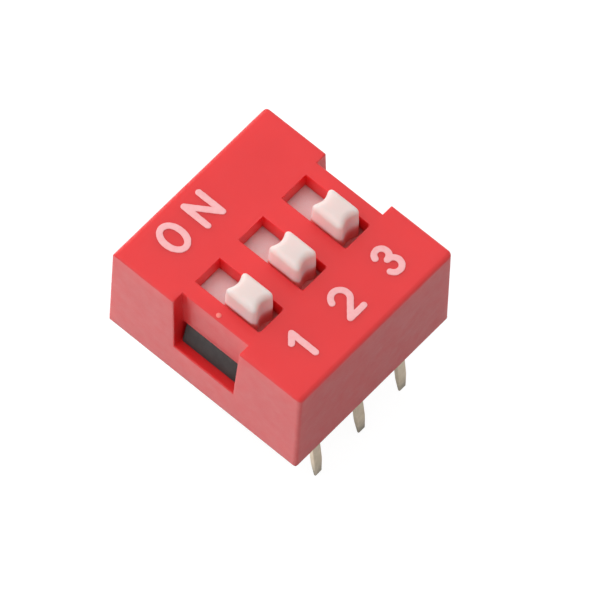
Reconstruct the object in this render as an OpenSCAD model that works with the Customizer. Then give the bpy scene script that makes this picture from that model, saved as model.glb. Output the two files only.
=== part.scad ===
// Three-position slide DIP switch for through-hole mounting.
// Millimetres. Origin: middle of the pin pattern on the seating plane.
// +X runs from switch 1 to switch 3, +Y towards the ON side, +Z up.

/* [Body] */
// Distance between neighbouring switches and pins
pitch = 2.54; // [2.3:0.01:3]
// From the last switch's centre to the end of the body
end_margin = 2.05; // [1.95:0.05:3]
// Width of the body across the two pin rows
body_w = 9.9; // [9.4:0.1:12]
// Height of the body from the seating plane to the top face
body_h = 5.25; // [5:0.05:7]
// Rounding of the body's outer edges
edge_r = 0.2; // [0.06:0.02:0.34]
// Thickness of the cover's top wall
top_t = 0.8; // [0.4:0.02:0.96]
// Thickness of the cover's two long side walls
side_t = 0.55; // [0.4:0.01:0.7]

/* [Slots] */
// Width of each slot
slot_w = 1.44; // [1.3:0.02:1.6]
// Length of each slot
slot_l = 3.36; // [3.2:0.02:4]

/* [End notches] */
// Width of the notch at the top face
notch_w = 3.45; // [3:0.05:4]
// How far each side of the notch leans in over its height
notch_draft = 0.18; // [0:0.01:0.2]
// Depth of the notch into the end wall
notch_d = 0.62; // [0.4:0.01:0.65]
// Height of the notch's floor above the seating plane
notch_floor = 1.85; // [1.6:0.05:2.4]
// Height of the latch window above the notch's floor
window_h = 1.25; // [0.8:0.05:1.7]
// How far the latch lug stands out over the notch's floor
lug_out = 0.18; // [0.05:0.01:0.3]
// How far the lug's face leans back by its top
lug_lean = 0.25; // [0.1:0.01:0.4]

/* [Sliders] */
// Width of the knob
knob_w = 1.2; // [0.9:0.05:1.25]
// Length of the knob
knob_l = 1.55; // [1.2:0.05:1.8]
// Height of the knob above the top face
knob_rise = 0.96; // [0.5:0.02:1.4]
// Depth of the hollow in the knob's front and back
scoop_d = 0.17; // [0.05:0.01:0.3]
// Width of that hollow
scoop_w = 1; // [0.7:0.02:1.1]
// Rounding of the knob's edges
knob_r = 0.17; // [0.05:0.01:0.22]
// Sliding travel from OFF to ON
travel = 0.9; // [0.8:0.05:1.3]
// Thickness of the slider's plate
plate_t = 0.56; // [0.4:0.02:0.7]
// How far the plate reaches under the cover past the edges of the slot
plate_lap = 0.3; // [0.15:0.01:0.36]
// Width of the carrier under the plate
carrier_w = 1.4; // [1.3:0.02:1.5]
// Length of the carrier under the plate
carrier_l = 3.3; // [3.1:0.05:3.6]
// Wall of the carrier around the contact
carrier_wall = 0.2; // [0.15:0.01:0.22]

/* [Base] */
// Depth of the potted seal on the underside
seal_t = 0.4; // [0.2:0.05:0.6]
// Gap from the seating plane to the seal
seal_up = 0.1; // [0.05:0.05:0.2]
// Height of the base's contact floor above the seating plane
floor_h = 2.0; // [1.6:0.05:2.3]

/* [Terminals] */
// From the body's long side to the middle of the pin row
pin_inset = 1; // [0.8:0.02:1.3]
// Length of each pin below the seating plane
pin_l = 3.75; // [2.5:0.05:4.5]
// Width of the pin
pin_w = 0.47; // [0.4:0.01:0.6]
// Width of the pin at its tip
tip_w = 0.38; // [0.15:0.01:0.4]
// Thickness of the pin at its tip
tip_t = 0.1; // [0.05:0.01:0.18]
// Length of the tapered tip
tip_l = 0.9; // [0.4:0.05:1.5]
// Thickness of the terminal strip
strip_t = 0.22; // [0.2:0.01:0.3]
// Angle by which each pin leans outwards
flare = 8.5; // [0:0.5:12]
// Inside radius of the terminal's bend
bend_r = 0.1; // [0.05:0.01:0.2]
// Width of the contact pad
pad_w = 1.2; // [0.9:0.05:1.3]
// From the middle to the inner end of each long pad
pad_reach = 0.35; // [0.2:0.05:0.4]
// From the middle to the inner end of each short pad
pad_back = 0.95; // [0.9:0.05:1.1]

/* [Contacts] */
// Thickness of the contact leaf
leaf_t = 0.12; // [0.08:0.01:0.15]
// Width of the contact leaf
leaf_w = 0.8; // [0.5:0.05:0.9]
// Length of the leaf's flat seat
leaf_seat = 0.8; // [0.5:0.05:1]
// Distance between the leaf's two feet
leaf_span = 2.1; // [2:0.05:2.2]
// Length of the upturned toes, along Y
toe_l = 0.22; // [0.1:0.01:0.25]
// Rise of the upturned toes
toe_h = 0.3; // [0.1:0.05:0.5]

/* [Lettering] */
// Height of the letters and digits
cap_h = 1.54; // [1:0.02:1.8]
// Width of the letters
cap_w = 1.15; // [0.8:0.01:1.4]
// Width of each stroke
stroke = 0.28; // [0.15:0.01:0.32]
// Thickness of the stamped foil
ink_t = 0.04; // [0.02:0.01:0.06]
// From the digits to the OFF side of the body
digit_inset = 0.93; // [0.5:0.01:1.1]
// From the letters to the ON side of the body
letter_inset = 0.57; // [0.4:0.01:1.1]
// Distance from one letter's centre to the next
letter_step = 1.75; // [1.5:0.01:2]
// How far the first letter stands east of the first switch
letter_shift = 0.16; // [0:0.02:0.4]

/* [Hidden] */
$fn = 64;
eps = 0.01;
positions = 3;
run = 0.04;        // running clearance beside, above and below a slider
stop_gap = 0.02;   // left between the carrier and its end stop
fit = 0.03;        // clearance between the base and the cover's walls
touch_gap = 0.03;  // left under the contact's feet
skim = 0.15;       // left under the carrier

off_y = -travel / 2;
span_x = (positions - 1) * pitch;
body_l = span_x + 2 * end_margin;
notch_x = body_l / 2 - notch_d;
floor_w = notch_w - 2 * notch_draft;
top_in = body_h - top_t;
plate_w = slot_w + 2 * plate_lap;
plate_l = slot_l + travel + 2 * plate_lap;
plate_z = top_in - run - plate_t;
base_top = plate_z - run;
well_w = carrier_w + 2 * run;
well_l = carrier_l + travel + 2 * stop_gap;
hole_x = span_x / 2 + plate_w / 2 + run;
hole_y = body_w / 2 - side_t;
base_x = hole_x - fit;
base_y = hole_y - fit;
base_z = seal_up + seal_t;
rib_t = pitch - plate_w - 2 * run;
pad_top = floor_h + strip_t;
carrier_z = pad_top + skim;
row_y = body_w / 2 - pin_inset;
bend_out = bend_r + strip_t;
scoop_r = (scoop_w * scoop_w / 4 + scoop_d * scoop_d) / (2 * scoop_d);

function switch_x(i) = (i - (positions + 1) / 2) * pitch;

module block(x, y, z0, z1)
  translate([-x / 2, -y / 2, z0]) cube([x, y, z1 - z0]);

// Flat outline with its four corners rounded
module round_rect(x, y, r) {
  square([x - 2 * r, y], center = true);
  square([x, y - 2 * r], center = true);
  for (i = [-1, 1], j = [-1, 1])
    translate([i * (x / 2 - r), j * (y / 2 - r)]) circle(r);
}

// Upright profile, square at the foot and rounded at the two top corners
module arch(w, z0, z1, r) {
  translate([-w / 2, z0]) square([w, z1 - z0 - r]);
  translate([-w / 2 + r, z0]) square([w - 2 * r, z1 - z0]);
  for (i = [-1, 1]) translate([i * (w / 2 - r), z1 - r]) circle(r);
}

// Turns a profile drawn in Y and Z and extrudes it along X, centred
module along_x(l)
  translate([-l / 2, 0, 0]) rotate([90, 0, 90]) linear_extrude(l) children();

// Turns a profile drawn in X and Z and extrudes it along Y, centred
module along_y(l)
  translate([0, l / 2, 0]) rotate([90, 0, 0]) linear_extrude(l) children();

// Block with rounded upright corners and rounded top edges
module soft_block(x, y, z0, z1, r) intersection() {
  translate([0, 0, z0]) linear_extrude(z1 - z0) round_rect(x, y, r);
  along_x(x + 1) arch(y, z0, z1, r);
  along_y(y + 1) arch(x, z0, z1, r);
}

module cover_shell() difference() {
  soft_block(body_l, body_w, 0, body_h, edge_r);
  block(2 * hole_x, 2 * hole_y, -eps, top_in);
  for (i = [1 : positions]) translate([switch_x(i), 0, 0])
    block(slot_w, slot_l, top_in - eps, body_h + eps);
  for (s = [0, 1]) mirror([s, 0, 0]) {
    // notch
    translate([notch_x + (notch_d + 1) / 2, 0, 0]) along_x(notch_d + 1)
      polygon([[-floor_w / 2, notch_floor], [floor_w / 2, notch_floor],
               [notch_w / 2, body_h + eps], [-notch_w / 2, body_h + eps]]);
    // latch window
    translate([(hole_x + notch_x) / 2, 0, 0])
      block(notch_x - hole_x + 2 * eps, floor_w, notch_floor, notch_floor + window_h);
  }
}

module cover() color([0.86, 0.07, 0.08]) {
  cover_shell();
  // ribs between the sliders' plates
  for (i = [1 : positions - 1]) translate([switch_x(i) + pitch / 2, 0, 0])
    block(rib_t, 2 * hole_y, base_top, top_in + eps);
}

module lug() {
  reach = notch_x - base_x;
  translate([base_x, 0, 0]) along_y(floor_w - 2 * fit)
    polygon([[-eps, notch_floor], [reach + lug_out, notch_floor],
             [reach + lug_out, notch_floor + lug_out],
             [reach + lug_out - lug_lean, notch_floor + window_h - fit],
             [-eps, notch_floor + window_h - fit]]);
}

module base() color([0.09, 0.09, 0.09]) {
  difference() {
    block(2 * base_x, 2 * base_y, base_z, base_top);
    for (i = [1 : positions]) translate([switch_x(i), 0, 0]) {
      block(well_w, well_l, floor_h, base_top + eps);
      strip_room(pad_reach, 1);
      strip_room(pad_back, -1);
    }
  }
  for (s = [0, 1]) mirror([s, 0, 0]) lug();
}

// Strip of one terminal inside the body, on the side where sign = 1 is OFF
module strip(reach, sign, z_low) mirror([0, sign > 0 ? 1 : 0, 0]) {
  translate([0, (reach + row_y - strip_t / 2 - bend_r) / 2, 0])
    block(pad_w, row_y - strip_t / 2 - bend_r - reach, floor_h, pad_top);
  translate([0, row_y - strip_t / 2 - bend_r, floor_h - bend_r])
    intersection() {
      rotate([0, 90, 0]) difference() {
        cylinder(h = pin_w, r = bend_out, center = true);
        cylinder(h = pin_w + 1, r = bend_r, center = true);
      }
      translate([-pin_w, 0, 0]) cube([2 * pin_w, 2 * bend_out, 2 * bend_out]);
    }
  translate([0, row_y, 0]) block(pin_w, strip_t, z_low, floor_h - bend_r);
}

// Space that the strip fills in the moulded base
module strip_room(reach, sign) strip(reach, sign, base_z - eps);

module tip_outline(l)
  polygon([[-pin_w / 2, 0], [pin_w / 2, 0], [pin_w / 2, tip_l - l], [tip_w / 2, -l],
           [-tip_w / 2, -l], [-pin_w / 2, tip_l - l]]);

// Leaning pin below the seating plane
module pin() {
  slope = pin_l / cos(flare);
  rotate([-flare, 0, 0]) intersection() {
    along_y(strip_t) tip_outline(slope);
    along_x(2 * pin_w)
      polygon([[-strip_t / 2, 0], [strip_t / 2, 0], [strip_t / 2, tip_l - slope],
               [tip_t / 2, -slope], [-tip_t / 2, -slope], [-strip_t / 2, tip_l - slope]]);
  }
  // knee between the upright strip and the leaning pin
  rotate([0, 90, 0]) cylinder(h = pin_w, r = strip_t / 2, center = true);
}

module terminal(i, reach, sign) color([0.72, 0.68, 0.6])
  translate([switch_x(i), 0, 0]) {
    strip(reach, sign, 0);
    mirror([0, sign > 0 ? 1 : 0, 0]) translate([0, row_y, 0]) mirror([0, 1, 0]) pin();
  }

module seal() color([0.16, 0.15, 0.14]) difference() {
  block(2 * hole_x, 2 * hole_y, seal_up, base_z);
  for (i = [1 : positions], s = [-1, 1])
    translate([switch_x(i), s * row_y, 0]) block(pin_w, strip_t, 0, base_z + eps);
}

module knob() intersection() {
  translate([0, 0, plate_z + eps]) linear_extrude(body_h + knob_rise - plate_z) difference() {
    round_rect(knob_w, knob_l, knob_r);
    for (s = [-1, 1]) translate([0, s * (knob_l / 2 + scoop_r - scoop_d)]) circle(scoop_r);
  }
  along_x(2 * knob_w) arch(knob_l, plate_z, body_h + knob_rise, knob_r);
  along_y(2 * knob_l) arch(knob_w, plate_z, body_h + knob_rise, knob_r);
}

module slider(i) color([0.93, 0.92, 0.9]) translate([switch_x(i), off_y, 0]) {
  block(plate_w, plate_l, plate_z, plate_z + plate_t);
  knob();
  difference() {
    block(carrier_w, carrier_l, carrier_z, plate_z + eps);
    block(carrier_w - 2 * carrier_wall, carrier_l - 2 * carrier_wall,
          carrier_z - eps, plate_z);
  }
}

// Flat bar of the leaf between two points of its middle line
module bar(a, b) {
  d = b - a;
  translate(a) rotate(atan2(d[1], d[0])) translate([0, -leaf_t / 2]) square([norm(d), leaf_t]);
}

module leaf_profile() {
  z_seat = plate_z - leaf_t / 2;
  z_foot = pad_top + touch_gap + leaf_t / 2;
  translate([-leaf_seat / 2, z_seat - leaf_t / 2]) square([leaf_seat, leaf_t]);
  for (s = [-1, 1]) {
    knee = [s * leaf_seat / 2, z_seat];
    foot = [s * leaf_span / 2, z_foot];
    toe = [s * (leaf_span / 2 + toe_l), z_foot + toe_h];
    bar(knee, foot);
    bar(foot, toe);
    for (p = [knee, foot, toe]) translate(p) circle(leaf_t / 2);
  }
}

module contact(i) color([0.8, 0.62, 0.28]) translate([switch_x(i), off_y, 0])
  along_x(leaf_w) leaf_profile();

// Stroke with round ends between two points
module line(a, b) {
  d = b - a;
  translate(a) rotate(atan2(d[1], d[0])) translate([0, -stroke / 2]) square([norm(d), stroke]);
  for (p = [a, b]) translate(p) circle(stroke / 2);
}

// Stroke along an arc of radius r, from angle a to angle b, with round ends
module curve(r, a, b) {
  far = 3 * r;
  steps = 8;
  intersection() {
    difference() {
      circle(r + stroke / 2);
      circle(r - stroke / 2);
    }
    polygon(concat([[0, 0]],
      [for (k = [0 : steps]) let (t = a + (b - a) * k / steps) [far * cos(t), far * sin(t)]]));
  }
  for (t = [a, b]) translate([r * cos(t), r * sin(t)]) circle(stroke / 2);
}

// Oval of half-width a and half-height b, drawn with two radii
module oval(a, b, r) {
  q = b - r;
  side_r = (a * a + q * q - r * r) / (2 * (a - r));
  y_meet = q * side_r / (side_r - r);
  intersection() {
    translate([a - side_r, 0]) circle(side_r);
    translate([side_r - a, 0]) circle(side_r);
    square([2 * a + 1, 2 * y_meet], center = true);
  }
  for (s = [-1, 1]) translate([0, s * q]) circle(r);
}

line_h = cap_h - stroke;
line_w = cap_w - stroke;

module stamp(x, y) color([0.97, 0.88, 0.87])
  translate([x, y, body_h]) linear_extrude(ink_t) children();

letter_y = body_w / 2 - letter_inset - cap_h / 2;
digit_y = -(body_w / 2 - digit_inset - cap_h / 2);
letter_x = switch_x(1) + letter_shift;

module letter_o() stamp(letter_x, letter_y) difference() {
  oval(cap_w / 2, cap_h / 2, 0.84 * cap_w / 2);
  oval(cap_w / 2 - stroke, cap_h / 2 - stroke, 0.84 * cap_w / 2 - stroke);
}

module letter_n() stamp(letter_x + letter_step, letter_y) {
  for (s = [-1, 1]) line([s * line_w / 2, -line_h / 2], [s * line_w / 2, line_h / 2]);
  line([-line_w / 2, line_h / 2], [line_w / 2, -line_h / 2]);
}

module digit_1() stamp(switch_x(1), digit_y) {
  x = line_h / 12;
  line([x, -line_h / 2], [x, line_h / 2]);
  line([-line_h / 5, line_h / 4], [x, line_h / 2]);
}

module digit_2() stamp(switch_x(2), digit_y) {
  r = 0.31 * line_h;
  turn = -38;
  translate([0, line_h / 2 - r]) curve(r, turn, 165);
  line([r * cos(turn), line_h / 2 - r + r * sin(turn)], [-0.3 * line_h, -line_h / 2]);
  line([-0.3 * line_h, -line_h / 2], [0.32 * line_h, -line_h / 2]);
}

module digit_3() stamp(switch_x(3), digit_y) {
  r_top = 0.235 * line_h;
  r_low = line_h / 2 - r_top;
  translate([0, line_h / 2 - r_top]) curve(r_top, -90, 165);
  translate([0, r_low - line_h / 2]) curve(r_low, -162, 90);
}

cover();
base();
seal();
slider(1);  // slider_1
slider(2);  // slider_2
slider(3);  // slider_3
contact(1);  // contact_1
contact(2);  // contact_2
contact(3);  // contact_3
terminal(1, pad_reach, 1);  // terminal_1
terminal(2, pad_reach, 1);  // terminal_2
terminal(3, pad_reach, 1);  // terminal_3
terminal(3, pad_back, -1);  // terminal_4
terminal(2, pad_back, -1);  // terminal_5
terminal(1, pad_back, -1);  // terminal_6
letter_o();
letter_n();
digit_1();
digit_2();
digit_3();
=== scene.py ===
import math

import bmesh
import bpy
from mathutils import Matrix, Vector, noise


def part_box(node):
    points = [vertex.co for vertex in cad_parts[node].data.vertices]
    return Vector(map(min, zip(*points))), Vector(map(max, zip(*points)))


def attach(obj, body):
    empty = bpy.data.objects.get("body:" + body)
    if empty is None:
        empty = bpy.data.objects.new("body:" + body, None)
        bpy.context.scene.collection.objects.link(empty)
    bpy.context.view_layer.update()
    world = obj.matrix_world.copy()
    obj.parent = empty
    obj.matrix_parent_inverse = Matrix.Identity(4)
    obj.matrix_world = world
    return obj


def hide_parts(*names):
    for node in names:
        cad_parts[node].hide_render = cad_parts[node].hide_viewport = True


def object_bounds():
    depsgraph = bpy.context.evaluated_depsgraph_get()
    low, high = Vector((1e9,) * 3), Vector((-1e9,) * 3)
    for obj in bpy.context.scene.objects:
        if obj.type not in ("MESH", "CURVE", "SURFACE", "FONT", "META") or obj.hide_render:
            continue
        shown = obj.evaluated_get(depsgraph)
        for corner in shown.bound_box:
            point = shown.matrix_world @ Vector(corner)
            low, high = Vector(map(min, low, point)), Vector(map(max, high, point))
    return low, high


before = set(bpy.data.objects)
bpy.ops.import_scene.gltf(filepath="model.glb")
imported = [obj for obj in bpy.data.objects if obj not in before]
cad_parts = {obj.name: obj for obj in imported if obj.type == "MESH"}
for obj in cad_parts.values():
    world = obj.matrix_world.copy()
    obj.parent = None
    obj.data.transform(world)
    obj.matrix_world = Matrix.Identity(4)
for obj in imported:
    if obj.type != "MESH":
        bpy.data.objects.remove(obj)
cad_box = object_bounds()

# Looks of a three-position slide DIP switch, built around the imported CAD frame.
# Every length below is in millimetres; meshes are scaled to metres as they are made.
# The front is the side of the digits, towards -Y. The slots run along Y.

MM = 0.001


# ---------------------------------------------------------------- sizes from the frame
def box_mm(node):
    """Lowest and highest corner of a CAD node at rest, in millimetres."""
    lo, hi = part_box(node)
    return lo / MM, hi / MM


_, cover_hi = box_mm("cover")
seal_lo, seal_hi = box_mm("seal")
slider_boxes = [box_mm(f"slider_{i}") for i in (1, 2, 3)]
slider_lo, slider_hi = slider_boxes[0]
switch_x = [(lo.x + hi.x) / 2 for lo, hi in slider_boxes]
pitch = switch_x[1] - switch_x[0]

half_l, half_w, body_h = cover_hi.x, cover_hi.y, cover_hi.z
hole_x, hole_y = seal_hi.x, seal_hi.y
off_y = (slider_lo.y + slider_hi.y) / 2
travel = -2 * off_y
knob_top = slider_hi.z

# Sizes that the frame's boxes don't give: cover
EDGE_R, END_R = 0.22, 0.1  # top edges of the long sides and of the ends
CORNER_R, SHARP_CORNER_R = 0.2, 0.08  # upright edges, and the sharper one by the O
FOOT_R, LIP_R = 0.05, 0.06  # lower edges, and the rims of the notches
BREAK_R, INSIDE_R = 0.03, 0.02  # broken inner edges, and those inside the cavity
END_DRAFT, SIDE_DRAFT = 0.07, 0.03  # how far the outer walls lean in by the top
TOP_T = 0.8
SLOT_W, SLOT_L, SLOT_R = 1.44, 3.36, 0.12  # the radius is at the slot's front corners
NOTCH_D, NOTCH_FLOOR = 0.62, 1.85
NOTCH_W, NOTCH_DRAFT = 3.45, 0.18
WINDOW_H = 1.25
GATE_AT, GATE_R, GATE_H = (-3.76, 0.0), 0.115, 0.035

# base and seal
RUN = 0.04  # running clearance round the sliders
FIT = 0.03  # gap between the base and the cover
FLOOR_H = 2.0
LUG_OUT, LUG_LEAN = 0.18, 0.25
LUG_SIDE = 0.07  # gap at each side of the lug
LUG_ROOT, LUG_LIFT = 0.2, 0.005  # how deep it starts in the block, and its gap below
BASE_R = 0.04
CREEP_WALL, CREEP_PIN = (0.07, 0.16), (0.08, 0.12)  # how high and how far it creeps
CREEP_MOST, SEAL_WAVE = 0.085, 0.012

# sliders
KNOB_W, KNOB_L = 1.2, 1.55
KNOB_R, KNOB_ROLL = 0.24, 0.27  # corners in plan, and the rolled top edge
SCOOP_D, SCOOP_W, SCOOP_SOFT = 0.17, 0.84, 0.14
KNOB_HEEL = 0.08  # how much farther the knob reaches at its front
KNOB_DRAFT = 0.06
KNOB_CROWN, KNOB_SUNK, KNOB_FOOT = 0.006, 0.1, 0.002  # its foot is sunk in the plate
PLATE_T, PLATE_STEP = 0.56, 0.1  # the plate is lower in front of the knob
PLATE_R, STEP_IN = 0.04, 0.08  # how far the step lies behind the front scoop
CARRIER_W, CARRIER_L, CARRIER_WALL = 1.4, 3.3, 0.2

# terminals
STRIP_T, PIN_W, PAD_W = 0.22, 0.47, 1.2
STRIP_R = 0.035
TIP_W, TIP_T, TIP_L = 0.38, 0.1, 0.9
TIP_BREAK = (0.04, 0.03)  # how much the last edge is broken in width and thickness
PIN_L, FLARE = 3.75, 8.5
BEND_R, FLARE_R = 0.1, 0.3
FLARE_START, TIP_SPARE = 0.06, 0.006  # height where the flare begins, and a gap to the box
PAD_LONG, PAD_SHORT = 0.35, 0.95
PIN_INSET = 1.0
# how far each pin's tip strays along X, and how much shorter it is
STRAY = {
    1: (-0.06, 0.0), 2: (0.0, 0.02), 3: (-0.07, 0.12),
    4: (0.03, 0.05), 5: (-0.02, 0.0), 6: (0.04, 0.03),
}

# legends
CAP_H, CAP_W, STROKE, INK_T = 1.54, 1.15, 0.28, 0.04
INK_SINK, INK_SLOPE = 0.004, 0.02  # below the top face, and the width of the sloped rim
RAGGED = ((0.010, 5), (0.005, 17))  # depth and fineness of the ink's uneven edge
LEAST_POINTS = 8  # an outline with no more points than this is a speck

top_in = body_h - TOP_T
plate_z = top_in - RUN - PLATE_T
plate_top = plate_z + PLATE_T
base_top = plate_z - RUN
notch_x = half_l - NOTCH_D
row_y = half_w - PIN_INSET
rib_half = (pitch - (slider_hi.x - slider_lo.x) - 2 * RUN) / 2


# ---------------------------------------------------------------- mesh helpers
SHARP_ANGLE, FLAT_ANGLE = 38, 20  # degrees: shaded as an edge, and too flat to bevel


def link(name, mesh):
    thing = bpy.data.objects.new(name, mesh)
    bpy.context.scene.collection.objects.link(thing)
    return thing


def baked(thing, name):
    """Mesh of the object with its modifiers applied; the object is removed."""
    bpy.context.view_layer.update()
    depsgraph = bpy.context.evaluated_depsgraph_get()
    mesh = bpy.data.meshes.new_from_object(
        thing.evaluated_get(depsgraph), preserve_all_data_layers=True, depsgraph=depsgraph
    )
    mesh.name = name
    bpy.data.objects.remove(thing)
    return mesh


def rough_object(name, bm, bevel=0.0, segments=3):
    """Object in millimetres, with the weighted edges bevelled."""
    bmesh.ops.recalc_face_normals(bm, faces=bm.faces)
    mesh = bpy.data.meshes.new(name)
    bm.to_mesh(mesh)
    bm.free()
    thing = link(name, mesh)
    if bevel:
        m = thing.modifiers.new("bevel", "BEVEL")
        m.limit_method = "WEIGHT"
        m.offset_type = "OFFSET"
        m.width = bevel
        m.segments = segments
        m.use_clamp_overlap = True
        m.miter_outer = "MITER_SHARP"
    return thing


def finish_piece(name, bm, look, body, nodes, bevel=0.0, segments=3, joined=None):
    """Bevels the mesh, joins another to it, scales it to metres and rides it on its body."""
    rough = rough_object(name + "_mm", bm, bevel, segments)
    if joined:
        m = rough.modifiers.new("join", "BOOLEAN")
        m.operation = "UNION"
        m.solver = "EXACT"
        m.object = joined
    mesh = baked(rough, name + "_mm")
    if joined:
        bpy.data.objects.remove(joined)
    for polygon in mesh.polygons:
        polygon.use_smooth = True
    mesh.set_sharp_from_angle(angle=math.radians(SHARP_ANGLE))
    smooth = link(name + "_mm", mesh)
    m = smooth.modifiers.new("normals", "WEIGHTED_NORMAL")
    m.mode = "FACE_AREA"
    m.weight = 100
    m.keep_sharp = True
    final = baked(smooth, name)
    for vertex in final.vertices:
        vertex.co *= MM
    final.materials.clear()
    final.materials.append(look)
    piece = link(name, final)
    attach(piece, body)
    if nodes:
        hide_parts(*nodes)
    return piece


def cells(bm, xs, ys, zs, solid, place=None):
    """Adds the boundary of the grid's solid cells, as quads."""
    made = {}

    def corner(i, j, k):
        if (i, j, k) not in made:
            p = (xs[i], ys[j], zs[k])
            made[i, j, k] = bm.verts.new(place(*p) if place else p)
        return made[i, j, k]

    def is_solid(a, b, c):
        if not (0 <= a < len(xs) - 1 and 0 <= b < len(ys) - 1 and 0 <= c < len(zs) - 1):
            return False
        return solid(
            (xs[a] + xs[a + 1]) / 2, (ys[b] + ys[b + 1]) / 2, (zs[c] + zs[c + 1]) / 2
        )

    for a in range(len(xs) - 1):
        for b in range(len(ys) - 1):
            for c in range(len(zs) - 1):
                if not is_solid(a, b, c):
                    continue
                for axis in range(3):
                    for side in (0, 1):
                        step = [0, 0, 0]
                        step[axis] = 1 if side else -1
                        if is_solid(a + step[0], b + step[1], c + step[2]):
                            continue
                        u, v = [n for n in range(3) if n != axis]
                        quad = []
                        for du, dv in ((0, 0), (1, 0), (1, 1), (0, 1)):
                            at = [a, b, c]
                            at[axis] += side
                            at[u] += du
                            at[v] += dv
                            quad.append(corner(*at))
                        bm.faces.new(quad)


def skin(bm, rings):
    """Joins closed rings of vertices, each to the next, with quads."""
    n = len(rings[0])
    for lower, upper in zip(rings, rings[1:]):
        for k in range(n):
            bm.faces.new([lower[k], lower[(k + 1) % n], upper[(k + 1) % n], upper[k]])


def fan(bm, ring, tip):
    """Closes a ring with triangles that meet in one point."""
    for k in range(len(ring)):
        bm.faces.new([ring[k], ring[(k + 1) % len(ring)], tip])


def weigh_edges(bm, rule, widest):
    """Gives each sharp edge its bevel, as a share of the widest one."""
    bmesh.ops.recalc_face_normals(bm, faces=bm.faces)
    layer = bm.edges.layers.float.new("bevel_weight_edge")
    for edge in bm.edges:
        if len(edge.link_faces) != 2 or edge.calc_face_angle(0) < math.radians(FLAT_ANGLE):
            continue
        a, b = edge.verts[0].co, edge.verts[1].co
        edge[layer] = rule((a + b) / 2, edge.is_convex) / widest


HAIR = 0.01  # slack where a place is compared with a plane


def near(a, b, slack=2 * HAIR):
    return abs(a - b) < slack


# ---------------------------------------------------------------- materials
def material(name):
    m = bpy.data.materials.new(name)
    m.use_nodes = True
    tree = m.node_tree
    shader = tree.nodes["Principled BSDF"]
    return m, tree, shader


def mm_coords(tree):
    """Object coordinates in millimetres."""
    at = tree.nodes.new("ShaderNodeTexCoord")
    scale = tree.nodes.new("ShaderNodeVectorMath")
    scale.operation = "SCALE"
    scale.inputs["Scale"].default_value = 1 / MM
    tree.links.new(at.outputs["Object"], scale.inputs[0])
    return scale.outputs[0]


def noise_of(tree, coords, scale, detail, rough, offset=(0, 0, 0)):
    n = tree.nodes.new("ShaderNodeTexNoise")
    n.inputs["Scale"].default_value = scale
    n.inputs["Detail"].default_value = detail
    n.inputs["Roughness"].default_value = rough
    shift = tree.nodes.new("ShaderNodeVectorMath")
    shift.inputs[1].default_value = offset
    tree.links.new(coords, shift.inputs[0])
    tree.links.new(shift.outputs[0], n.inputs["Vector"])
    return n.outputs["Fac"]


def remap(tree, value, low, high, to_low=0, to_high=1):
    r = tree.nodes.new("ShaderNodeMapRange")
    r.inputs["From Min"].default_value = low
    r.inputs["From Max"].default_value = high
    r.inputs["To Min"].default_value = to_low
    r.inputs["To Max"].default_value = to_high
    tree.links.new(value, r.inputs["Value"])
    return r.outputs["Result"]


MIX_A, MIX_B, MIXED = 6, 7, 2  # a Mix node's sockets for colours


def blend_colour(tree, factor, first, second):
    """Mixes two colours, each either a tuple or a socket."""
    mix = tree.nodes.new("ShaderNodeMix")
    mix.data_type = "RGBA"
    tree.links.new(factor, mix.inputs[0])
    for socket, colour in ((mix.inputs[MIX_A], first), (mix.inputs[MIX_B], second)):
        if isinstance(colour, tuple):
            socket.default_value = (*colour, 1)
        else:
            tree.links.new(colour, socket)
    return mix.outputs[MIXED]


def product(tree, first, second):
    times = tree.nodes.new("ShaderNodeMath")
    times.operation = "MULTIPLY"
    tree.links.new(first, times.inputs[0])
    tree.links.new(second, times.inputs[1])
    return times.outputs[0]


def bump(tree, height, distance, normal=None):
    b = tree.nodes.new("ShaderNodeBump")
    b.inputs["Distance"].default_value = distance * MM
    b.inputs["Strength"].default_value = 1.0
    tree.links.new(height, b.inputs["Height"])
    if normal is not None:
        tree.links.new(normal, b.inputs["Normal"])
    return b.outputs["Normal"]


def sheltered(tree, colour, reach, steps):
    """Paints bounced light and shade into the colour where walls near by hide the sky: steps of
    openness and tint.
    """
    sky = tree.nodes.new("ShaderNodeAmbientOcclusion")
    sky.samples = 8
    sky.inputs["Distance"].default_value = reach * MM
    tint = (1, 1, 1)
    for (high, _), (low, deeper) in zip(steps, steps[1:]):
        tint = blend_colour(tree, remap(tree, sky.outputs["AO"], low, high, 1, 0), tint, deeper)
    # the tint multiplies the colour: painted bounced light and shade
    painted_bounce = tree.nodes.new("ShaderNodeMix")
    painted_bounce.data_type = "RGBA"
    painted_bounce.blend_type = "MULTIPLY"
    painted_bounce.inputs[0].default_value = 1
    tree.links.new(colour, painted_bounce.inputs[MIX_A])
    tree.links.new(tint, painted_bounce.inputs[MIX_B])
    return painted_bounce.outputs[MIXED]


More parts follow.
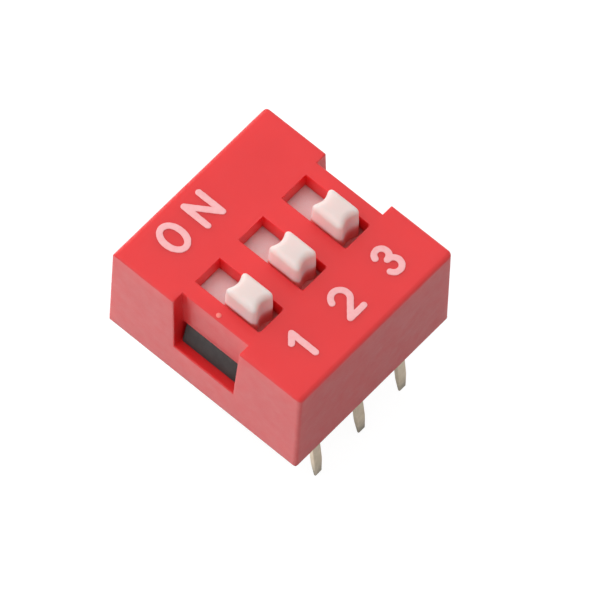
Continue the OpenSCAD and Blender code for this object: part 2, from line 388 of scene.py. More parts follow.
def plastic(name, main, shade, wear_and_highlight, rough, grain, glow=None):
    """Moulded plastic: flow marks, fine spark-eroded grain, paler edges that are partly worn and
    partly a painted highlight, and painted bounced light and shade where glow is given.
    """
    m, tree, shader = material(name)
    at = mm_coords(tree)
    flow = remap(tree, noise_of(tree, at, 0.35, 4, 0.55), 0.35, 0.65)
    colour = blend_colour(tree, flow, main, shade)
    geometry = tree.nodes.new("ShaderNodeNewGeometry")
    # paler convex edges in patches: partly wear, partly a painted highlight along the edges
    edge = remap(tree, geometry.outputs["Pointiness"], 0.53, 0.62)
    patches = remap(tree, noise_of(tree, at, 3.1, 4, 0.6, (7, 3, 1)), 0.4, 0.75, 0.1, 0.7)
    colour = blend_colour(tree, product(tree, edge, patches), colour, wear_and_highlight)
    # painted bounced light and shade, taken from how open the surface is to the sky
    if glow:
        colour = sheltered(tree, colour, *glow)
    tree.links.new(colour, shader.inputs["Base Color"])
    gloss = remap(tree, noise_of(tree, at, 1.7, 3, 0.6, (4, 4, 0)), 0.3, 0.7, *rough)
    tree.links.new(gloss, shader.inputs["Roughness"])
    wavy = bump(tree, noise_of(tree, at, 0.9, 2, 0.5), 0.02)
    grainy = bump(tree, noise_of(tree, at, 22, 2, 0.6), grain, wavy)
    tree.links.new(grainy, shader.inputs["Normal"])
    return m, shader


def scattering(shader, weight, radius):
    """Light that goes in, and how far each colour of it travels, as a share of SCATTER."""
    shader.inputs["Subsurface Weight"].default_value = weight
    shader.inputs["Subsurface Radius"].default_value = radius
    shader.inputs["Subsurface Scale"].default_value = SCATTER * MM


SCATTER = 0.7
PLASTIC_IOR = 1.6
# openness to the sky, and the painted tint that stands in for red light bounced onto the white
# there: lighter where half open, redder and darker where deep
PAINTED_RED_BOUNCE = (1.3, [(0.95, None), (0.5, (1.2, 1.07, 1.12)), (0.15, (1.2, 0.27, 0.27))])

red, red_shader = plastic(
    "red_moulding", (0.83, 0.014, 0.018), (0.80, 0.011, 0.015), (0.86, 0.06, 0.055),
    (0.34, 0.42), 0.003,
)
# the gate's nub is a real vestige; its paler red is a painted highlight on the nub
gate_highlight_red, gate_shader = plastic(
    "gate_painted_highlight", (0.96, 0.22, 0.18), (0.94, 0.16, 0.14), (0.97, 0.3, 0.26), (0.4, 0.5), 0.006
)
white, white_shader = plastic(
    "white_moulding", (0.83, 0.72, 0.69), (0.80, 0.68, 0.65), (0.84, 0.74, 0.71),
    (0.4, 0.52), 0.002, PAINTED_RED_BOUNCE,
)
black, black_shader = plastic(
    "black_moulding", (0.030, 0.025, 0.025), (0.022, 0.018, 0.018), (0.07, 0.062, 0.06),
    (0.5, 0.62), 0.004,
)
red_shader.inputs["IOR"].default_value = PLASTIC_IOR
gate_shader.inputs["IOR"].default_value = PLASTIC_IOR
black_shader.inputs["Specular IOR Level"].default_value = 0.3
scattering(red_shader, 0.6, (1.0, 0.12, 0.1))
scattering(white_shader, 1.0, (1.0, 0.6, 0.55))


def foil_material():
    """Thin white hot-stamped foil: the red shows through where it is thin."""
    m, tree, shader = material("stamped_foil")
    at = mm_coords(tree)
    thin = remap(tree, noise_of(tree, at, 6.0, 4, 0.6), 0.42, 0.72, 0.0, 0.55)
    colour = blend_colour(tree, thin, (0.96, 0.49, 0.50), (0.94, 0.35, 0.36))
    tree.links.new(colour, shader.inputs["Base Color"])
    shader.inputs["Roughness"].default_value = 0.55
    tree.links.new(bump(tree, noise_of(tree, at, 14, 3, 0.6), 0.004), shader.inputs["Normal"])
    return m


def potting_material():
    """Dark cast epoxy with a faint mottling."""
    m, tree, shader = material("potting")
    at = mm_coords(tree)
    mottle = remap(tree, noise_of(tree, at, 1.2, 5, 0.6), 0.35, 0.65)
    colour = blend_colour(tree, mottle, (0.030, 0.026, 0.022), (0.055, 0.047, 0.038))
    tree.links.new(colour, shader.inputs["Base Color"])
    shader.inputs["Roughness"].default_value = 0.22
    tree.links.new(bump(tree, noise_of(tree, at, 1.5, 3, 0.5), 0.02), shader.inputs["Normal"])
    return m


def metal_material(name, main, shade, rough, streak, tip=None):
    """Plated sheet metal: rolling streaks along Z, faint mottling, a darker tip if given."""
    m, tree, shader = material(name)
    at = mm_coords(tree)
    stretch = tree.nodes.new("ShaderNodeVectorMath")
    stretch.operation = "MULTIPLY"
    stretch.inputs[1].default_value = (1, 1, 0.12)
    tree.links.new(at, stretch.inputs[0])
    lines = noise_of(tree, stretch.outputs[0], streak, 4, 0.65)
    mottle = noise_of(tree, at, 2.4, 4, 0.6, (5, 1, 2))
    colour = blend_colour(tree, remap(tree, mottle, 0.35, 0.65), main, shade)
    if tip:
        split = tree.nodes.new("ShaderNodeSeparateXYZ")
        tree.links.new(at, split.inputs[0])
        low = remap(tree, split.outputs["Z"], -PIN_L, -PIN_L + TIP_L, 1, 0)
        dark = product(tree, low, remap(tree, mottle, 0.3, 0.6, 0.1, 1))
        colour = blend_colour(tree, dark, colour, tip)
    tree.links.new(colour, shader.inputs["Base Color"])
    shader.inputs["Metallic"].default_value = 1.0
    tree.links.new(remap(tree, lines, 0.3, 0.7, *rough), shader.inputs["Roughness"])
    tree.links.new(bump(tree, lines, 0.003), shader.inputs["Normal"])
    return m


foil = foil_material()
potting = potting_material()
tin = metal_material(
    "tin_plate", (0.66, 0.57, 0.45), (0.57, 0.49, 0.37), (0.35, 0.5), 18, (0.26, 0.24, 0.2)
)
gold = metal_material("gold_flash", (0.80, 0.58, 0.26), (0.72, 0.50, 0.21), (0.22, 0.4), 14)


# ---------------------------------------------------------------- cover
def notch_half(z):
    """Half-width of the end notch at height z."""
    rise = max(0.0, z - NOTCH_FLOOR) / (body_h - NOTCH_FLOOR)
    return NOTCH_W / 2 - NOTCH_DRAFT * (1 - rise)


def make_cover():
    """Five-sided shell with a slot over each switch and a notch in each end."""
    slot_half = SLOT_L / 2
    slot_edges = sorted(x + s * SLOT_W / 2 for x in switch_x for s in (-1, 1))
    rib_edges = sorted(s * (pitch / 2) + t * rib_half for s in (-1, 1) for t in (-1, 1))
    xs = sorted([-half_l, half_l, -notch_x, notch_x, -hole_x, hole_x, *slot_edges, *rib_edges])
    ys = [-half_w, -hole_y, -slot_half, slot_half, hole_y, half_w]
    window_top = NOTCH_FLOOR + WINDOW_H
    zs = [0, NOTCH_FLOOR, window_top, base_top, top_in, body_h]

    def solid(x, y, z):
        beside_slots = abs(y) < slot_half
        if abs(x) < hole_x and abs(y) < hole_y and z < top_in:
            return z > base_top and near(abs(x), pitch / 2, rib_half)
        if z > top_in and beside_slots and any(near(x, s, SLOT_W / 2) for s in switch_x):
            return False
        if beside_slots and z > NOTCH_FLOOR:
            if abs(x) > notch_x:
                return False
            if abs(x) > hole_x and z < window_top:
                return False
        return True

    def place(x, y, z):
        if near(abs(y), slot_half):
            outer = notch_half(z)
            half = slot_half
            if abs(x) > notch_x - HAIR or (abs(x) > hole_x - HAIR and z < top_in - HAIR):
                half = outer
            elif abs(x) > hole_x - HAIR:
                half = (outer + slot_half) / 2
            y = math.copysign(half, y)
        if near(abs(x), half_l):
            x -= math.copysign(END_DRAFT * z / body_h, x)
        if near(abs(y), half_w):
            y -= math.copysign(SIDE_DRAFT * z / body_h, y)
        return (x, y, z)

    bm = bmesh.new()
    cells(bm, xs, ys, zs, solid, place)

    def rule(p, convex):
        at_end = near(abs(p.x), half_l, END_DRAFT + HAIR)
        at_side = near(abs(p.y), half_w, SIDE_DRAFT + HAIR)
        if at_end and at_side:
            return SHARP_CORNER_R if p.x < 0 < p.y else CORNER_R
        if near(p.z, body_h):
            if at_end:
                return END_R
            if at_side:
                return EDGE_R
            return BREAK_R if abs(p.x) < hole_x else LIP_R
        if near(p.z, 0):
            return FOOT_R if at_end or at_side else BREAK_R
        if at_end:
            return LIP_R
        if near(p.y, -slot_half) and top_in < p.z < body_h and abs(p.x) < hole_x:
            return SLOT_R
        if abs(p.x) > hole_x and abs(p.y) < NOTCH_W and p.z >= NOTCH_FLOOR - HAIR:
            return BREAK_R if convex else 0.0
        return INSIDE_R if near(p.z, top_in) and convex else 0.0

    weigh_edges(bm, rule, EDGE_R)
    finish_piece("cover_shell", bm, red, "housing", ["cover"], EDGE_R, 5)


def make_gate_mark():
    """Low round nub left by the mould's gate, on the rim beside the first switch."""
    bm = bmesh.new()
    turns, rings = 28, 6
    loops = []
    for k in range(rings):
        t = math.pi / 2 * k / rings
        r, z = GATE_R * math.cos(t), body_h - HAIR + (GATE_H + HAIR) * math.sin(t)
        angles = [2 * math.pi * n / turns for n in range(turns)]
        loops.append([
            bm.verts.new((GATE_AT[0] + r * math.cos(a), GATE_AT[1] + r * math.sin(a), z))
            for a in angles
        ])
    tip = bm.verts.new((*GATE_AT, body_h + GATE_H))
    skin(bm, loops)
    fan(bm, loops[-1], tip)
    bm.faces.new(loops[0])
    finish_piece("gate_mark", bm, gate_highlight_red, "housing", [])


# ---------------------------------------------------------------- base and seal
def prism(bm, profile, half):
    """Adds a closed prism: a profile in X and Z, from y = -half to half."""
    ends = [[bm.verts.new((x, s * half, z)) for x, z in profile] for s in (-1, 1)]
    skin(bm, ends)
    bm.faces.new(ends[0])
    bm.faces.new(ends[1])


def make_base():
    """Black block with a well for each slider, and a latch lug at each end."""
    well_x, well_y = CARRIER_W / 2 + RUN, CARRIER_L / 2 + travel / 2 + RUN / 2
    edges = sorted(x + s * well_x for x in switch_x for s in (-1, 1))
    block_x, block_y = hole_x - FIT, hole_y - FIT
    xs = [-block_x, *edges, block_x]
    ys = [-block_y, -well_y, well_y, block_y]
    zs = [seal_hi.z, FLOOR_H, base_top]

    def solid(x, y, z):
        in_well = abs(y) < well_y and any(near(x, s, well_x) for s in switch_x)
        return not (in_well and z > FLOOR_H)

    bm = bmesh.new()
    cells(bm, xs, ys, zs, solid)
    root, reach = block_x - LUG_ROOT, notch_x + LUG_OUT
    low, top = NOTCH_FLOOR + LUG_LIFT, NOTCH_FLOOR + WINDOW_H - FIT
    for s in (-1, 1):
        profile = [
            (s * root, low), (s * reach, low), (s * reach, NOTCH_FLOOR + LUG_OUT),
            (s * (reach - LUG_LEAN), top), (s * root, top),
        ]
        prism(bm, profile, notch_half(NOTCH_FLOOR) - LUG_SIDE)

    def rule(p, convex):
        return BASE_R if abs(p.x) > block_x - HAIR else BASE_R / 2

    weigh_edges(bm, rule, BASE_R)
    finish_piece("base_block", bm, black, "housing", ["base"], BASE_R)


def make_seal():
    """Potted underside: level in the middle, creeping up at the walls and the pins."""
    nx, ny = 72, 88
    pins = [(x, s * row_y) for x in switch_x for s in (-1, 1)]

    def creep(x, y):
        wall = min(hole_x - abs(x), hole_y - abs(y))
        rise = CREEP_WALL[0] * math.exp(-wall / CREEP_WALL[1])
        for px, py in pins:
            gap = math.hypot(max(abs(x - px) - PIN_W / 2, 0), max(abs(y - py) - STRIP_T / 2, 0))
            rise += CREEP_PIN[0] * math.exp(-gap / CREEP_PIN[1])
        return min(rise, CREEP_MOST)

    bm = bmesh.new()
    low, rim = {}, {}
    for i in range(nx + 1):
        for j in range(ny + 1):
            # samples crowd towards the walls
            x = -hole_x * math.cos(math.pi * i / nx)
            y = -hole_y * math.cos(math.pi * j / ny)
            wave = SEAL_WAVE * noise.noise((x * 0.6, y * 0.6, 3.0))
            low[i, j] = bm.verts.new((x, y, seal_lo.z + SEAL_WAVE + wave - creep(x, y)))
    for (i, j), v in low.items():
        if i in (0, nx) or j in (0, ny):
            rim[i, j] = bm.verts.new((v.co.x, v.co.y, seal_hi.z))
    for i in range(nx):
        for j in range(ny):
            bm.faces.new([low[i, j], low[i, j + 1], low[i + 1, j + 1], low[i + 1, j]])
    loop = [(i, 0) for i in range(nx)] + [(nx, j) for j in range(ny)]
    loop += [(i, ny) for i in range(nx, 0, -1)] + [(0, j) for j in range(ny, 0, -1)]
    for a, b in zip(loop, loop[1:] + loop[:1]):
        bm.faces.new([low[a], low[b], rim[b], rim[a]])
    bm.faces.new([rim[p] for p in loop])
    finish_piece("seal_pool", bm, potting, "housing", ["seal"])


# ---------------------------------------------------------------- sliders
def knob_outline(inset, count):
    """Points of the knob's outline in plan, moved in by inset: concave front and back."""
    a, r = KNOB_W / 2, KNOB_R
    scoop_r = (SCOOP_W**2 / 4 + SCOOP_D**2) / (2 * SCOOP_D)
    soft = SCOOP_SOFT

    def field(x, y):
        b = KNOB_L / 2 + (KNOB_HEEL if y < 0 else 0)
        centre = b + scoop_r - SCOOP_D
        qx, qy = abs(x) - a + r, abs(y) - b + r
        box = math.hypot(max(qx, 0), max(qy, 0)) + min(max(qx, qy), 0) - r
        scoop = scoop_r - math.hypot(x, centre - abs(y))
        h = max(soft - abs(box - scoop), 0) / soft
        return max(box, scoop) + h * h * soft / 4

    points = []
    for k in range(count):
        t = 2 * math.pi * k / count
        # directions crowd towards the four corners
        t -= 0.16 * math.sin(4 * t)
        dx, dy = math.cos(t), math.sin(t)
        near_in, far_out = 0.0, KNOB_W + KNOB_L
        for _ in range(40):
            mid = (near_in + far_out) / 2
            if field(mid * dx, mid * dy) + inset < 0:
                near_in = mid
            else:
                far_out = mid
        points.append((near_in * dx, near_in * dy))
    return points


def make_knob(x):
    """Knob with drafted sides and a rolled top edge, in millimetres."""
    turns, wall_rings, roll_rings = 112, 8, 9
    roll_z = knob_top - KNOB_ROLL
    rings = [(plate_top - PLATE_STEP - KNOB_SUNK, -KNOB_DRAFT)]  # height and inset
    wall_z = plate_top + KNOB_FOOT
    for k in range(wall_rings + 1):
        share = k / wall_rings
        rings.append((wall_z + (roll_z - plate_top) * share, -KNOB_DRAFT * (1 - share)))
    for k in range(1, roll_rings + 1):
        t = math.pi / 2 * k / roll_rings
        z = roll_z + (KNOB_ROLL - KNOB_CROWN) * math.sin(t)
        rings.append((z, KNOB_ROLL * (1 - math.cos(t))))
    bm = bmesh.new()
    loops = []
    for z, inset in rings:
        outline = knob_outline(inset, turns)
        loops.append([bm.verts.new((px, py, z)) for px, py in outline])
    for share in (0.86, 0.66, 0.42, 0.2):
        crown = z + KNOB_CROWN * (1 - share)
        loops.append([bm.verts.new((px * share, py * share, crown)) for px, py in outline])
    skin(bm, loops)
    bm.faces.new(loops[0])
    fan(bm, loops[-1], bm.verts.new((0, 0, z + KNOB_CROWN)))
    bmesh.ops.translate(bm, verts=bm.verts, vec=(x, off_y, 0))
    return rough_object("knob_mm", bm)


def make_slider(number, x):
    """White moulding: knob, plate and a carrier frame below it."""
    plate_x, plate_y = (slider_hi - slider_lo).xy / 2
    outer_x, outer_y = CARRIER_W / 2, CARRIER_L / 2
    inner_x, inner_y = outer_x - CARRIER_WALL, outer_y - CARRIER_WALL
    step_y = -KNOB_L / 2 + SCOOP_D + STEP_IN
    xs = [-plate_x, -outer_x, -inner_x, inner_x, outer_x, plate_x]
    ys = sorted([-plate_y, -outer_y, -inner_y, step_y, inner_y, outer_y, plate_y])
    zs = [slider_lo.z, plate_z, plate_top - PLATE_STEP, plate_top]

    def solid(u, v, z):
        if z > plate_z:
            return v > step_y or z < plate_top - PLATE_STEP
        inside = abs(u) < inner_x and abs(v) < inner_y
        return abs(u) < outer_x and abs(v) < outer_y and not inside

    bm = bmesh.new()
    cells(bm, xs, ys, zs, solid)
    weigh_edges(bm, lambda p, convex: PLATE_R if convex else 0.0, PLATE_R)
    bmesh.ops.translate(bm, verts=bm.verts, vec=(x, off_y, 0))
    finish_piece(
        f"slider_white_{number}", bm, white, f"switch_{number}",
        [f"slider_{number}"], PLATE_R, joined=make_knob(x),
    )


# ---------------------------------------------------------------- terminals
def strip_path(reach, short):
    """Stations along the strip: y, z, angle down from +Y, width, thickness."""
    bend = BEND_R + STRIP_T / 2
    pad_z = FLOOR_H + STRIP_T / 2
    bend_y, bend_z = row_y - bend, pad_z - bend
    # the wide pad narrows to the pin just before the bend
    path = [(y, pad_z, 0.0, PAD_W, STRIP_T) for y in (reach, reach + 0.05, 2.6, bend_y - 0.12)]
    path.append((bend_y - 0.04, pad_z, 0.0, PIN_W, STRIP_T))
    bend_steps, flare_steps, pin_steps = 8, 6, 8
    for k in range(bend_steps + 1):
        t = math.pi / 2 * k / bend_steps
        path.append((bend_y + bend * math.sin(t), bend_z + bend * math.cos(t), t, PIN_W, STRIP_T))
    for z in (1.2, 0.5, 0.12):
        path.append((row_y, z, math.pi / 2, PIN_W, STRIP_T))
    lean = math.radians(FLARE)
    for k in range(flare_steps + 1):
        t = lean * k / flare_steps
        y, z = row_y + FLARE_R * (1 - math.cos(t)), FLARE_START - FLARE_R * math.sin(t)
        path.append((y, z, math.pi / 2 - t, PIN_W, STRIP_T))

    def down(s, width, thick):
        at_y, at_z = y + s * math.sin(lean), z - s * math.cos(lean)
        path.append((at_y, at_z, math.pi / 2 - lean, width, thick))

    rest = (PIN_L + z) / math.cos(lean) - short - TIP_SPARE
    for k in range(1, pin_steps + 1):
        down((rest - TIP_L) * k / pin_steps, PIN_W, STRIP_T)
    for share in (0.12, 0.3, 0.5, 0.7, 0.88, 0.97, 1.0):
        ease = share**1.15
        width, thick = PIN_W + (TIP_W - PIN_W) * ease, STRIP_T + (TIP_T - STRIP_T) * ease
        if share == 1.0:
            width, thick = width - TIP_BREAK[0], thick - TIP_BREAK[1]
        down(rest - TIP_L * (1 - share), width, thick)
    return path


def strip_section(width, thick):
    """Rectangle with rounded corners, as points across and through the strip."""
    r = min(STRIP_R, thick * 0.35)
    section = []
    for su, sv, start in ((1, 1, 0), (-1, 1, 90), (-1, -1, 180), (1, -1, 270)):
        for a in (math.radians(start + 30 * k) for k in range(4)):
            u, v = su * (width / 2 - r) + r * math.cos(a), sv * (thick / 2 - r) + r * math.sin(a)
            section.append((u, v))
    return section


def make_terminal(number, x, side, reach):
    """One stamped strip: pad, bend and flared pin, swept along its middle line."""
    stray, short = STRAY[number]
    bm = bmesh.new()
    rings = []
    for y, z, t, width, thick in strip_path(reach, short):
        ring = []
        for u, v in strip_section(width, thick):
            off = stray * (max(0.0, -z) / PIN_L) ** 1.3
            at_y, at_z = y + v * math.sin(t), z + v * math.cos(t)
            ring.append(bm.verts.new((x + u + off, side * at_y, at_z)))
        rings.append(ring)
    skin(bm, rings)
    bm.faces.new(rings[0])
    bm.faces.new(rings[-1])
    finish_piece(
        f"pin_strip_{number}", bm, tin, "housing", [f"terminal_{number}"]
    )


# ---------------------------------------------------------------- legends
def arc(cx, cy, r, start, end):
    """Points along an arc, its angles in degrees."""
    steps = 24
    angles = [math.radians(start + (end - start) * k / steps) for k in range(steps + 1)]
    return [(cx + r * math.cos(a), cy + r * math.sin(a)) for a in angles]


def stroke_field(x, y, lines):
    """Distance to the edge of the strokes along the lines, negative inside."""
    best = math.inf
    for line in lines:
        for (ax, ay), (bx, by) in zip(line, line[1:]):
            dx, dy = bx - ax, by - ay
            t = ((x - ax) * dx + (y - ay) * dy) / (dx * dx + dy * dy)
            t = max(0, min(1, t))
            best = min(best, math.hypot(x - ax - t * dx, y - ay - t * dy))
    return best - STROKE / 2


def contours(field, x0, x1, y0, y1, step):
    """Closed loops where the field is zero, by marching squares."""
    nx, ny = int((x1 - x0) / step) + 1, int((y1 - y0) / step) + 1
    grid = [[field(x0 + i * step, y0 + j * step) for j in range(ny + 1)] for i in range(nx + 1)]
    links, points = {}, {}

    def cut(i, j, u, v):
        key = (i, j, u, v) if (i, j) <= (u, v) else (u, v, i, j)
        if key not in points:
            a, b = grid[key[0]][key[1]], grid[key[2]][key[3]]
            t = a / (a - b)
            points[key] = (
                x0 + (key[0] + (key[2] - key[0]) * t) * step,
                y0 + (key[1] + (key[3] - key[1]) * t) * step,
            )
        return key

    for i in range(nx):
        for j in range(ny):
            ring = [(i, j), (i + 1, j), (i + 1, j + 1), (i, j + 1)]
            inside = [grid[u][v] < 0 for u, v in ring]
            starts, ends = [], []
            for k in range(4):
                if inside[k] != inside[(k + 1) % 4]:
                    key = cut(*ring[k], *ring[(k + 1) % 4])
                    (ends if inside[k] else starts).append(key)
            for a, b in zip(starts, ends):
                links[a] = b
    loops = []
    while links:
        first = next(iter(links))
        loop, key = [], first
        while key in links:
            loop.append(points[key])
            key = links.pop(key)
        if len(loop) > LEAST_POINTS:
            loops.append(loop)
    return loops


def thinned(loop, gap):
    """The loop without points that lie closer than gap to the last one kept."""
    kept = [loop[0]]
    for p in loop[1:]:
        if math.dist(p, kept[-1]) > gap:
            kept.append(p)
    if math.dist(kept[0], kept[-1]) < gap * 0.5:
        kept.pop()
    return kept


def make_legend(name, node, lines, seed):
    """Ink outline with slightly uneven edges, raised by the foil's thickness."""
    lo, hi = box_mm(node)
    wobble = Vector((seed * 3.7, seed * 1.3, 0.5))

    def field(x, y):
        edge = stroke_field(x, y, lines) + INK_SINK
        for depth, fine in RAGGED:
            edge += depth * noise.noise(Vector((x * fine, y * fine, 0)) + wobble)
        return edge

    pad, grid, gap, h = 0.04, 0.018, 0.016, 0.004
    heights = (lo.z - INK_SINK, lo.z + INK_T * 0.55, lo.z + INK_T * 0.9)
    bm = bmesh.new()
    tops, feet = [], []
    for loop in contours(field, lo.x - pad, hi.x + pad, lo.y - pad, hi.y + pad, grid):
        foot, rim, top = [], [], []
        for x, y in thinned(loop, gap):
            gx = field(x + h, y) - field(x - h, y)
            gy = field(x, y + h) - field(x, y - h)
            size = max(math.hypot(gx, gy), 1e-9)
            foot.append(bm.verts.new((x, y, heights[0])))
            rim.append(bm.verts.new((x, y, heights[1])))
            inner = (x - INK_SLOPE * gx / size, y - INK_SLOPE * gy / size)
            top.append(bm.verts.new((*inner, heights[2])))
        skin(bm, [foot, rim, top])
        for edges, ring in ((tops, top), (feet, foot)):
            edges += [bm.edges.get(pair) for pair in zip(ring, ring[1:] + ring[:1])]
    for edges in (tops, feet):
        bmesh.ops.triangle_fill(bm, edges=edges, use_beauty=True)
    finish_piece(name, bm, foil, "housing", [node])


def make_legends():
    """ON behind the slots, and a digit in front of each."""
    half_x, half_y = (CAP_W - STROKE) / 2, (CAP_H - STROKE) / 2
    tall = 2 * half_y

    def legend(name, node, lines, seed, x=None):
        lo, hi = box_mm(node)
        mx, my = ((lo + hi) / 2).xy
        mx = mx if x is None else x
        make_legend(name, node, [[(mx + u, my + v) for u, v in line] for line in lines], seed)

    # the O's sides bulge a little
    turns = [2 * math.pi * k / 64 for k in range(65)]
    oval = [
        (half_x * math.cos(t) * (1 + 0.03 * abs(math.sin(t))), half_y * math.sin(t)) for t in turns
    ]
    legend("legend_o", "letter_o", [oval], 1)

    posts = [[(s * half_x, -half_y), (s * half_x, half_y)] for s in (-1, 1)]
    legend("legend_n", "letter_n", [*posts, [(-half_x, half_y), (half_x, -half_y)]], 2)

    stem = tall / 12
    one = [[(stem, -half_y), (stem, half_y)], [(-tall / 5, tall / 4), (stem, half_y)]]
    legend("legend_1", "digit_1", one, 3, switch_x[0])

    r = 0.31 * tall
    two = arc(0, half_y - r, r, 165, -38) + [(-0.3 * tall, -half_y), (0.32 * tall, -half_y)]
    legend("legend_2", "digit_2", [two], 4, switch_x[1])

    r_top = 0.235 * tall
    r_low = tall / 2 - r_top
    upper = arc(0, half_y - r_top, r_top, -90, 165)
    lower = arc(0, r_low - half_y, r_low, -162, 90)
    legend("legend_3", "digit_3", [upper, lower], 5, switch_x[2])


make_cover()
make_gate_mark()
make_base()
make_seal()
for number, x in enumerate(switch_x, 1):
    make_slider(number, x)
front_row = [(x, -1, PAD_LONG) for x in switch_x]
back_row = [(x, 1, PAD_SHORT) for x in reversed(switch_x)]
for number, (x, side, reach) in enumerate(front_row + back_row, 1):
    make_terminal(number, x, side, reach)
make_legends()
for number in (1, 2, 3):
    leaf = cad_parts[f"contact_{number}"]
    leaf.data.materials.clear()
    leaf.data.materials.append(gold)


# ---------------------------------------------------------------- floor and light
FLOOR_SIZE = 600
FLOOR_BOUNCE = 0.1  # grey that lights the object
FLOOR_SEEN = (0.22, 0.89)  # diffuse and glow, for the camera
FLOOR_MIRRORED = 0.7
# painted light and shade in reflections: the glow that mirrored rays see is dim south-east, where
# the object's shadow would lie, and bright north-west
MIRRORED_PAINTED_LIGHT = (0.2, 0.9)  # mirrored south-east and north-west of the object
PAINTED_LIGHT_ACROSS, PAINTED_LIGHT_FROM = (-1, 1, 0), (-2.5, 1.0)
BRIGHT_SIDE = (-0.1, 0.99, 0)
SKY = (0.25, 1.65)  # on the far side and on the bright one
KEY_AT, KEY_SIZE, KEY_POWER = (-36, 46, 82), 64, 0.008


def seen_ray(tree):
    """Sockets that are 1 for camera, glossy and transmission rays, and for the camera's."""
    path = tree.nodes.new("ShaderNodeLightPath")
    total = path.outputs["Is Camera Ray"]
    for kind in ("Is Glossy Ray", "Is Transmission Ray"):
        higher = tree.nodes.new("ShaderNodeMath")
        higher.operation = "MAXIMUM"
        tree.links.new(total, higher.inputs[0])
        tree.links.new(path.outputs[kind], higher.inputs[1])
        total = higher.outputs[0]
    return total, path.outputs["Is Camera Ray"]


def make_floor():
    """Pale floor: it bounces a little light, and is seen as white with a faint shadow; in
    reflections it shows a painted shade south-east of the object.
    """
    bm = bmesh.new()
    bmesh.ops.create_grid(bm, x_segments=24, y_segments=24, size=FLOOR_SIZE * MM)
    mesh = bpy.data.meshes.new("floor")
    bm.to_mesh(mesh)
    bm.free()
    floor = link("floor", mesh)
    floor.location.z = cad_box[0].z
    m = bpy.data.materials.new("floor")
    m.use_nodes = True
    tree = m.node_tree
    tree.nodes.clear()
    out = tree.nodes.new("ShaderNodeOutputMaterial")
    seen, by_camera = seen_ray(tree)
    pale = blend_colour(tree, seen, (FLOOR_BOUNCE,) * 3, (FLOOR_MIRRORED,) * 3)
    pale = blend_colour(tree, by_camera, pale, (FLOOR_SEEN[0],) * 3)
    # painted shade and light for mirrored rays: the glow fades from dim south-east, standing in
    # for the object's shadow, to bright north-west
    across = tree.nodes.new("ShaderNodeVectorMath")
    across.operation = "DOT_PRODUCT"
    across.inputs[1].default_value = PAINTED_LIGHT_ACROSS
    tree.links.new(mm_coords(tree), across.inputs[0])
    side = remap(tree, across.outputs["Value"], *PAINTED_LIGHT_FROM, *MIRRORED_PAINTED_LIGHT)
    glow = blend_colour(tree, seen, (0, 0, 0), side)
    glow = blend_colour(tree, by_camera, glow, (FLOOR_SEEN[1],) * 3)
    diffuse = tree.nodes.new("ShaderNodeBsdfDiffuse")
    tree.links.new(pale, diffuse.inputs["Color"])
    emission = tree.nodes.new("ShaderNodeEmission")
    tree.links.new(glow, emission.inputs["Color"])
    add = tree.nodes.new("ShaderNodeAddShader")
    tree.links.new(diffuse.outputs[0], add.inputs[0])
    tree.links.new(emission.outputs[0], add.inputs[1])
    # nothing is seen of it from below, so that it doesn't hide the underside
    geometry = tree.nodes.new("ShaderNodeNewGeometry")
    clear = tree.nodes.new("ShaderNodeBsdfTransparent")
    either = tree.nodes.new("ShaderNodeMixShader")
    tree.links.new(geometry.outputs["Backfacing"], either.inputs[0])
    tree.links.new(add.outputs[0], either.inputs[1])
    tree.links.new(clear.outputs[0], either.inputs[2])
    tree.links.new(either.outputs[0], out.inputs["Surface"])
    mesh.materials.append(m)


def make_key():
    """A soft square lamp that looks at the middle of the object."""
    data = bpy.data.lights.new("key", "AREA")
    data.shape = "RECTANGLE"
    data.size, data.size_y = KEY_SIZE * MM, KEY_SIZE * MM
    data.energy = KEY_POWER
    lamp = link("key", data)
    lamp.location = Vector(KEY_AT) * MM
    lamp.rotation_mode = "QUATERNION"
    lamp.rotation_quaternion = (-Vector(KEY_AT)).to_track_quat("-Z", "Y")


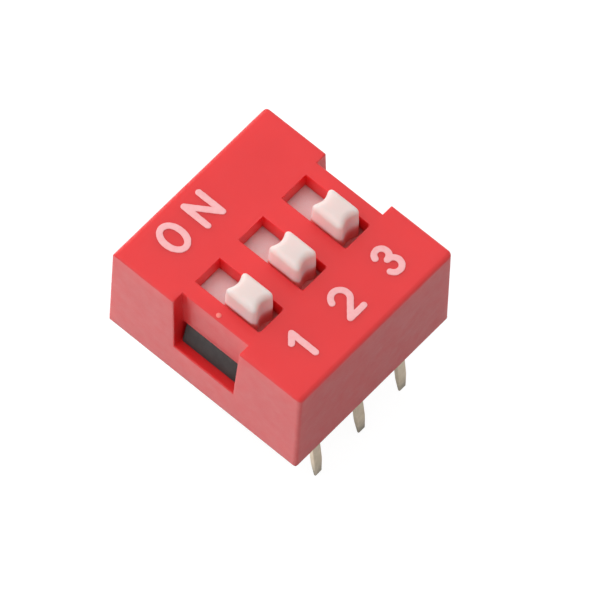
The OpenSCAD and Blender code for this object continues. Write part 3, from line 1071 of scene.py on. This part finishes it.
def make_world():
    """A light tent, brighter behind; plain white where it is seen and mirrored."""
    world = bpy.data.worlds.new("studio")
    world.use_nodes = True
    tree = world.node_tree
    seen, _ = seen_ray(tree)
    at = tree.nodes.new("ShaderNodeTexCoord")
    towards = tree.nodes.new("ShaderNodeVectorMath")
    towards.operation = "DOT_PRODUCT"
    towards.inputs[1].default_value = BRIGHT_SIDE
    tree.links.new(at.outputs["Generated"], towards.inputs[0])
    sky = remap(tree, towards.outputs["Value"], -1, 1, *SKY)
    grey = blend_colour(tree, seen, sky, (1, 1, 1))
    tree.links.new(grey, tree.nodes["Background"].inputs["Color"])
    bpy.context.scene.world = world


make_floor()
make_world()
make_key()


# ---------------------------------------------------------------- camera
AZIMUTH, ELEVATION, ROLL = -51.353, 60.954, 3.392
DISTANCE, CLIP_NEAR, CLIP_FAR = 400.0, 1, 5000
LENS, SENSOR = 612.89, 36.0
# where the middle of the top face lies in the picture, right of and above its middle
OFFSET_RIGHT, OFFSET_UP = -0.6750, 1.8312


def make_camera():
    """The photograph's angle, at a fixed distance from the middle of the top face."""
    a, e, r = (math.radians(v) for v in (AZIMUTH, ELEVATION, ROLL))
    back = Vector((math.sin(a) * math.cos(e), -math.cos(a) * math.cos(e), math.sin(e)))
    right = (-back).cross(Vector((0, 0, 1))).normalized()
    up = right.cross(-back)
    rolled_right = math.cos(r) * right + math.sin(r) * up
    rolled_up = -math.sin(r) * right + math.cos(r) * up
    middle = Vector((0, 0, body_h))
    place = middle + back * DISTANCE
    aim = middle - rolled_right * OFFSET_RIGHT - rolled_up * OFFSET_UP
    data = bpy.data.cameras.new("camera")
    data.lens, data.sensor_width = LENS, SENSOR
    data.clip_start, data.clip_end = CLIP_NEAR * MM, CLIP_FAR * MM
    camera = link("camera", data)
    forward = (aim - place).normalized()
    x_axis = forward.cross(rolled_up).normalized()
    y_axis = x_axis.cross(forward)
    camera.matrix_world = Matrix((
        (x_axis.x, y_axis.x, -forward.x, place.x * MM),
        (x_axis.y, y_axis.y, -forward.y, place.y * MM),
        (x_axis.z, y_axis.z, -forward.z, place.z * MM),
        (0, 0, 0, 1),
    ))
    bpy.context.scene.camera = camera


make_camera()
bpy.context.scene.view_settings.view_transform = "Standard"

bpy.context.view_layer.update()
